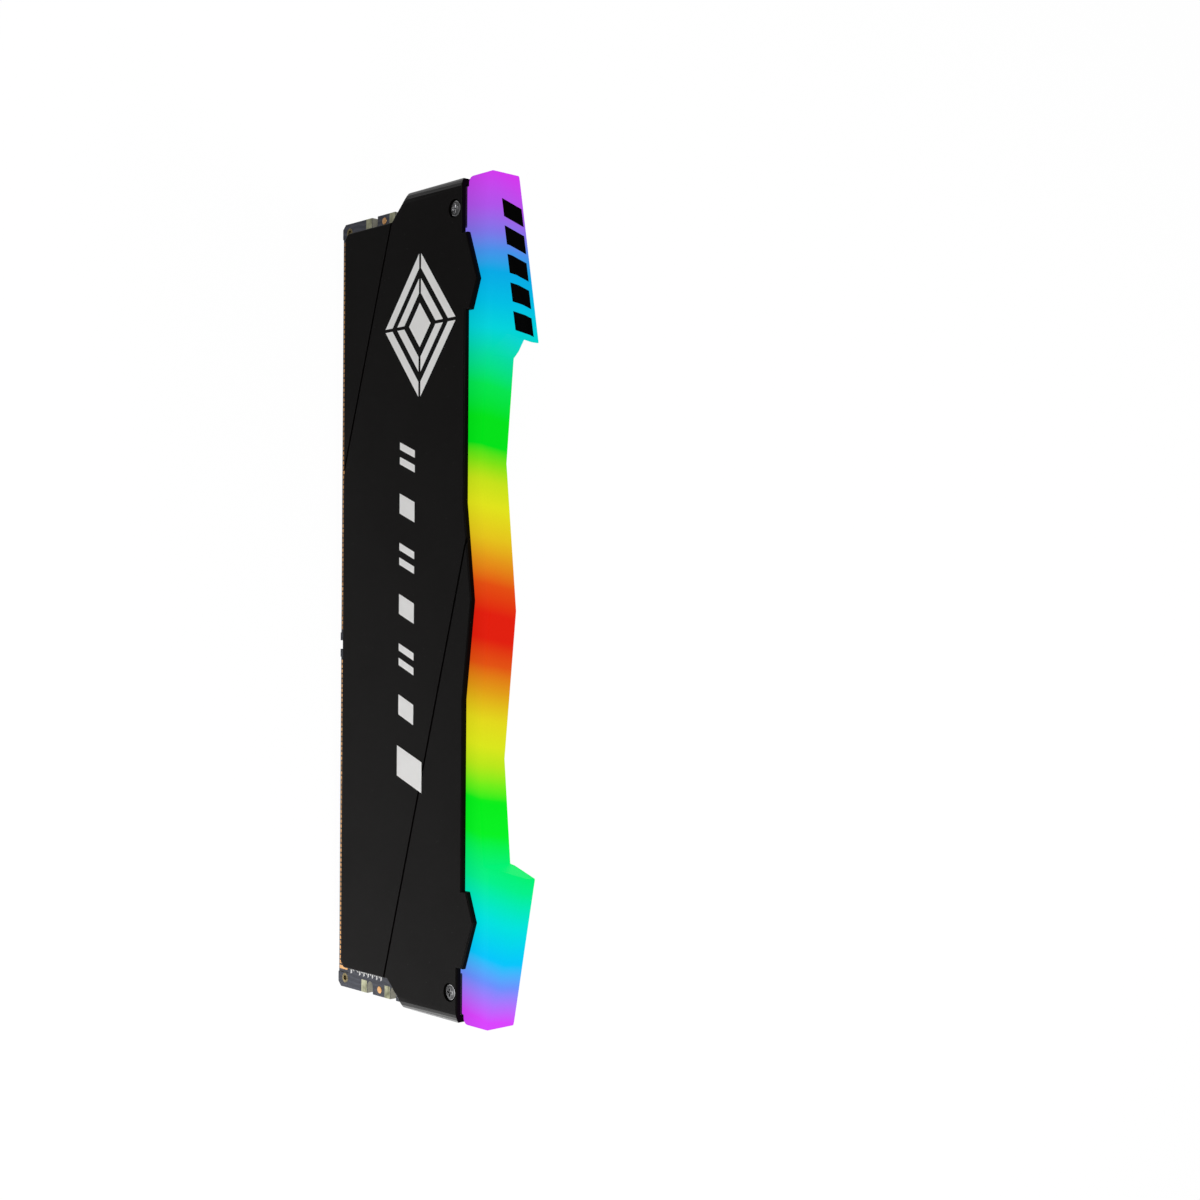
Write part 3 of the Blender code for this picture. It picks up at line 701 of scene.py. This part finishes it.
# A gold ring on both faces round each tooling hole, joined by the barrel in the hole
def makeHolePlating():
    trim = boardTrim
    inner, outer, film = trim["ringInner"], trim["ringOuter"], trim["film"]
    near, far = boardLow.y - film, boardHigh.y + film
    bore = inner - trim["barrelWall"]
    profile = [
        (bore, near + film / 2), (bore + film / 2, near), (outer, near), (outer, near + film),
        (inner, near + film), (inner, far - film),
        (outer, far - film), (outer, far), (bore + film / 2, far), (bore, far - film / 2),
    ]
    for end, name, x in boardEnds:
        shape = bmesh.new()
        ringAround(shape, x - end * trim["holeInset"], trim["holeHeight"], profile)
        piece = addPiece(f"hole_plating_{name}", shape, "holePlating")
        smoothPiece(piece, 40)


# Bare plated strips below each latch notch
def makeEdgePlating():
    trim = boardTrim
    for end, name, x in boardEnds:
        for _, face, y in boardSides:
            shape = bmesh.new()
            for low, high in trim["stripHeights"]:
                made = bmesh.ops.create_cube(shape, size=1)["verts"]
                middle = Vector((x - end * trim["stripLength"] / 2, y, (low + high) / 2))
                size = Vector((trim["stripLength"], 2 * trim["film"], high - low))
                for vert in made:
                    vert.co = middle + Vector(a * b for a, b in zip(vert.co, size))
            edges = shape.edges[:]
            bmesh.ops.bevel(shape, geom=edges, offset=trim["stripBevel"], segments=1, affect="EDGES")
            addPiece(f"edge_plating_{face}_{name}", shape, "edgePlating")


# A low dome of gold-coloured solder between the notches
def makeSolderDots():
    trim = boardTrim
    radius, bore, rise, sunk = (trim[key] for key in ("dotRadius", "dotBore", "dotRise", "dotSunk"))
    angles = [math.radians(angle) for angle in trim["domeAngles"]]
    for end, name, x in boardEnds:
        for side, face, y in boardSides:
            shape = bmesh.new()
            dome = [(radius * math.cos(a), y + side * rise * math.sin(a)) for a in angles]
            profile = [(bore, y - side * sunk), (radius, y - side * sunk), *dome, (bore, y + side * rise)]
            ringAround(shape, x - end * trim["dotInset"], trim["dotHeight"], profile, 24)
            piece = addPiece(f"solder_dot_{face}_{name}", shape, "contactGold")
            smoothPiece(piece, 50)


silkMarks = {
    "inset": 3.3 * mm,  # from the board's end to the row
    "first": 3.9 * mm,
    "pitch": 0.62 * mm,
    "count": 15,
    "leftOut": 2,  # the one dash that isn't printed, counted from 0
    "length": 0.72 * mm,
    "height": 0.40 * mm,
    "sway": 0.22 * mm,  # to either side of the row, by turns
    "film": 0.02 * mm,
}


# A row of small white registration dashes beside the heat spreader's end
def makeSilkMarks():
    silk = silkMarks
    surface = surfaceOf("pcb")
    for end, name, x in boardEnds:
        for side, face, _ in boardSides:
            shape = bmesh.new()
            outlines = []
            for index in range(silk["count"]):
                if index == silk["leftOut"]:
                    continue
                z = silk["first"] + index * silk["pitch"]
                turn = 1 if index % 2 else -1
                middle = x - end * (silk["inset"] + turn * silk["sway"])
                outlines.append(slanted(middle, z, silk["length"], silk["height"], turn * silk["sway"]))
            layPrint(shape, outlines, surface, upright, Vector((0, -side, 0)), silk["film"])
            addPiece(f"silk_marks_{face}_{name}", shape, "inkWhite")


makeHolePlating()
makeEdgePlating()
makeSolderDots()
makeSilkMarks()
print("board trim made")


# Printed marks on the heat spreaders: plain geometry, with no lettering

emblem = {
    "x": -45 * mm,
    "z": 26.5 * mm,
    "length": 24 * mm,
    "height": 19 * mm,
    "rings": [(1.0, 0.80), (0.66, 0.46)],  # outer and inner share of each split diamond
    "core": 0.30,
    "gap": 0.55 * mm,  # between the strokes of a ring
    "film": 0.03 * mm,
}


# One side of a diamond, from its end on the long axis to its end on the upright one, less the gaps
def diamondSide(share, right, up):
    length, height = emblem["length"] / 2 * share, emblem["height"] / 2 * share
    gapX, gapZ = (emblem["gap"] / 2 / half for half in (length, height))
    long = (right * (1 - gapZ) * length, up * gapZ * height)
    high = (right * gapX * length, up * (1 - gapX) * height)
    return [long, high]


# Nested diamonds round a solid one, each of them split into four strokes
def makeEmblem(name, side, surface):
    mark = emblem
    shape = bmesh.new()
    outlines = []
    for outer, inner in mark["rings"]:
        for right in (-1, 1):
            for up in (-1, 1):
                outlines.append(diamondSide(outer, right, up) + diamondSide(inner, right, up)[::-1])
    coreX, coreZ = mark["length"] / 2 * mark["core"], mark["height"] / 2 * mark["core"]
    outlines.append([(coreX, 0), (0, coreZ), (-coreX, 0), (0, -coreZ)])
    placed = [[(-side * (mark["x"] + x), mark["z"] + z) for x, z in outline] for outline in outlines]
    layPrint(shape, placed, surface, upright, Vector((0, -side, 0)), mark["film"])
    addPiece(name, shape, "inkWhite")


barRow = {
    "first": -23.6 * mm,
    "pitch": 8.3 * mm,
    "count": 6,
    "z": 23.4 * mm,
    "height": 4.0 * mm,
    "long": 3.3 * mm,  # length of a broad bar
    "short": 1.2 * mm,  # and of a thin one, which is as far from the pair's middle
    "slant": 1.6 * mm,
    "film": 0.03 * mm,
    "last": (27.6 * mm, 24.4 * mm, 5.0 * mm, 6.6 * mm, 2.4 * mm),  # x, z, length, height, slant
}


# A row of slanted bars, alternately one broad bar and a pair of thin ones
def makeBarRow(name, side, surface):
    row = barRow
    shape = bmesh.new()
    outlines = []
    for index in range(row["count"]):
        x = row["first"] + index * row["pitch"]
        if index % 2:
            bars = [(x, row["long"])]
        else:
            bars = [(x - row["short"], row["short"]), (x + row["short"], row["short"])]
        for middle, length in bars:
            outlines.append(slanted(middle, row["z"], length, row["height"], row["slant"]))
    outlines.append(slanted(*row["last"]))
    placed = [[(-side * x, z) for x, z in outline] for outline in outlines]
    layPrint(shape, placed, surface, upright, Vector((0, -side, 0)), row["film"])
    addPiece(name, shape, "inkWhite")


for side, face in ((-1, "front"), (1, "rear")):
    plate = surfaceOf(f"{face}_heatspreader")
    makeEmblem(f"{face}_emblem", side, plate)
    makeBarRow(f"{face}_bar_row", side, plate)
print("spreader marks made")


# Black bars printed along the ridge of the left wing

wingMarks = {
    "first": -62.4 * mm,
    "pitch": 4.5 * mm,
    "count": 5,
    "length": 3.0 * mm,
    "height": 2.9 * mm,
    "below": (0.2 * mm, 0.6 * mm),  # from the ridge to the first mark and to the last one
    "slant": 1.2 * mm,
    "film": 0.06 * mm,
    "strip": 0.15 * mm,
    "samples": 25,  # places across the bar where its ridge is looked for
}


# How far the bar reaches along the direction up, at a place along its length
def ridgeHeight(surface, x, up):
    low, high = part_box("light_bar")
    samples = wingMarks["samples"]
    tops = []
    for step in range(samples):
        place = Vector((x, low.y + (high.y - low.y) * (step + 0.5) / samples, farAway))
        tops.append(surface.ray_cast(place, -upright)[0].dot(up))
    return max(tops)


# The marks follow the wing's far edge, as seen from in front and 45 degrees above
def makeWingMarks(name, surface):
    marks = wingMarks
    up = Vector((0, 1, 1)).normalized()
    into = Vector((0, 1, -1)).normalized()
    shape = bmesh.new()
    outlines = []
    near, far = marks["below"]
    for index in range(marks["count"]):
        x = marks["first"] + index * marks["pitch"]
        below = near + (far - near) * index / (marks["count"] - 1)
        tops = [x + marks["slant"] / 2, x + marks["slant"] / 2 + marks["length"]]
        outline = [(top, ridgeHeight(surface, top, up) - below) for top in tops]
        outline += [(top - marks["slant"], height - marks["height"]) for top, height in reversed(outline)]
        outlines.append(outline)
    layPrint(shape, outlines, surface, up, into, marks["film"], marks["strip"])
    addPiece(name, shape, "inkBlack")


makeWingMarks("front_wing_marks", surfaceOf("light_bar"))
print("wing marks made")


# Floor, lights and camera

studio = {
    "floorSize": 8.0,
    "floorDrop": 0.3 * mm,  # below the contact edge
    "floorColour": (0.80, 0.80, 0.80),
    "floorGlow": 1.03,
    "glowShare": 0.94,  # the rest of what shows is the lit floor, with the module's shadow
    "cardGlow": (0.12, 1.15),  # of the floor as the module reflects it, at its left and right ends
    "worldSeen": 1.0,
    "worldLight": 0.22,
}


# A plain pale floor that shows almost white, with a faint shadow
def makeFloor():
    shape = bmesh.new()
    bmesh.ops.create_grid(shape, x_segments=1, y_segments=1, size=studio["floorSize"] / 2)
    mesh = bpy.data.meshes.new("floor")
    shape.to_mesh(mesh)
    shape.free()
    floor = bpy.data.objects.new("floor", mesh)
    floor.location.z = -studio["floorDrop"]
    bpy.context.scene.collection.objects.link(floor)
    material, tree, shader = newMaterial(
        "paleFloor", Base_Color=studio["floorColour"], Roughness=0.9, Specular_IOR_Level=0.1)
    glow = addNode(tree, "Emission", None, {"Color": (1, 1, 1), "Strength": studio["floorGlow"]})
    rays = addNode(tree, "LightPath").outputs
    seen = addMath(tree, "MULTIPLY", rays["Is Camera Ray"], studio["glowShare"])
    along = splitAxes(tree, objectPlace(tree))["X"]
    low, high = cadBox
    card = addRange(tree, along, low[0], high[0], *studio["cardGlow"])
    setSocket(tree, shader, "Emission Color", (1, 1, 1))
    setSocket(tree, shader, "Emission Strength", addMath(tree, "MULTIPLY", rays["Is Glossy Ray"], card))
    blend = addNode(tree, "MixShader", None, {0: seen, 1: shader.outputs[0], 2: glow.outputs[0]})
    tree.links.new(blend.outputs[0], tree.nodes["Material Output"].inputs["Surface"])
    mesh.materials.append(material)


# White behind the module, and a softer white as light
def makeWorld():
    world = bpy.data.worlds.new("studio")
    bpy.context.scene.world = world
    world.use_nodes = True
    tree = world.node_tree
    background = tree.nodes["Background"]
    setSocket(tree, background, "Color", (1, 1, 1))
    seen = addNode(tree, "LightPath").outputs["Is Camera Ray"]
    strength = addRange(tree, seen, 0, 1, studio["worldLight"], studio["worldSeen"])
    setSocket(tree, background, "Strength", strength)


softLights = {
    # place, target and size in millimetres, power in watts
    "key": ((-120, -260, 420), (0, 0, 20), 260, 0.80),
    "right": ((190, -80, 150), (150, -30, 0), 90, 0.3),
    "rear": ((60, 320, 300), (0, 0, 25), 260, 0.5),
}


def makeLights():
    for name, (place, target, size, power) in softLights.items():
        light = bpy.data.lights.new(name, "AREA")
        light.shape = "DISK"
        light.size = size * mm
        light.energy = power
        lamp = bpy.data.objects.new(name, light)
        lamp.location = Vector(place) * mm
        lamp.rotation_euler = (Vector(target) - Vector(place)).to_track_quat("-Z", "Y").to_euler()
        bpy.context.scene.collection.objects.link(lamp)


shot = {
    "place": (2.16 * mm, -176.90 * mm, 252.46 * mm),
    "down": 46.57,  # degrees below the horizon
    "turn": -0.37,
    "roll": 90.67,
    "lens": 52.0,
    "sensor": 36,
    "rise": 0.0192,  # shift of the frame
    "clip": (0.01, 20),
}


def makeCamera():
    data = bpy.data.cameras.new("camera")
    data.lens = shot["lens"]
    data.sensor_width = shot["sensor"]
    data.shift_y = shot["rise"]
    data.clip_start, data.clip_end = shot["clip"]
    camera = bpy.data.objects.new("camera", data)
    turn = Euler((0, 0, math.radians(shot["turn"]))).to_matrix()
    tilt = Euler((math.radians(90 - shot["down"]), 0, 0)).to_matrix()
    roll = Euler((0, 0, math.radians(shot["roll"]))).to_matrix()
    camera.rotation_euler = (turn @ tilt @ roll).to_euler()
    camera.location = shot["place"]
    bpy.context.scene.collection.objects.link(camera)
    bpy.context.scene.camera = camera


makeFloor()
makeWorld()
makeLights()
makeCamera()
bpy.context.scene.view_settings.view_transform = "Standard"
print("studio made")
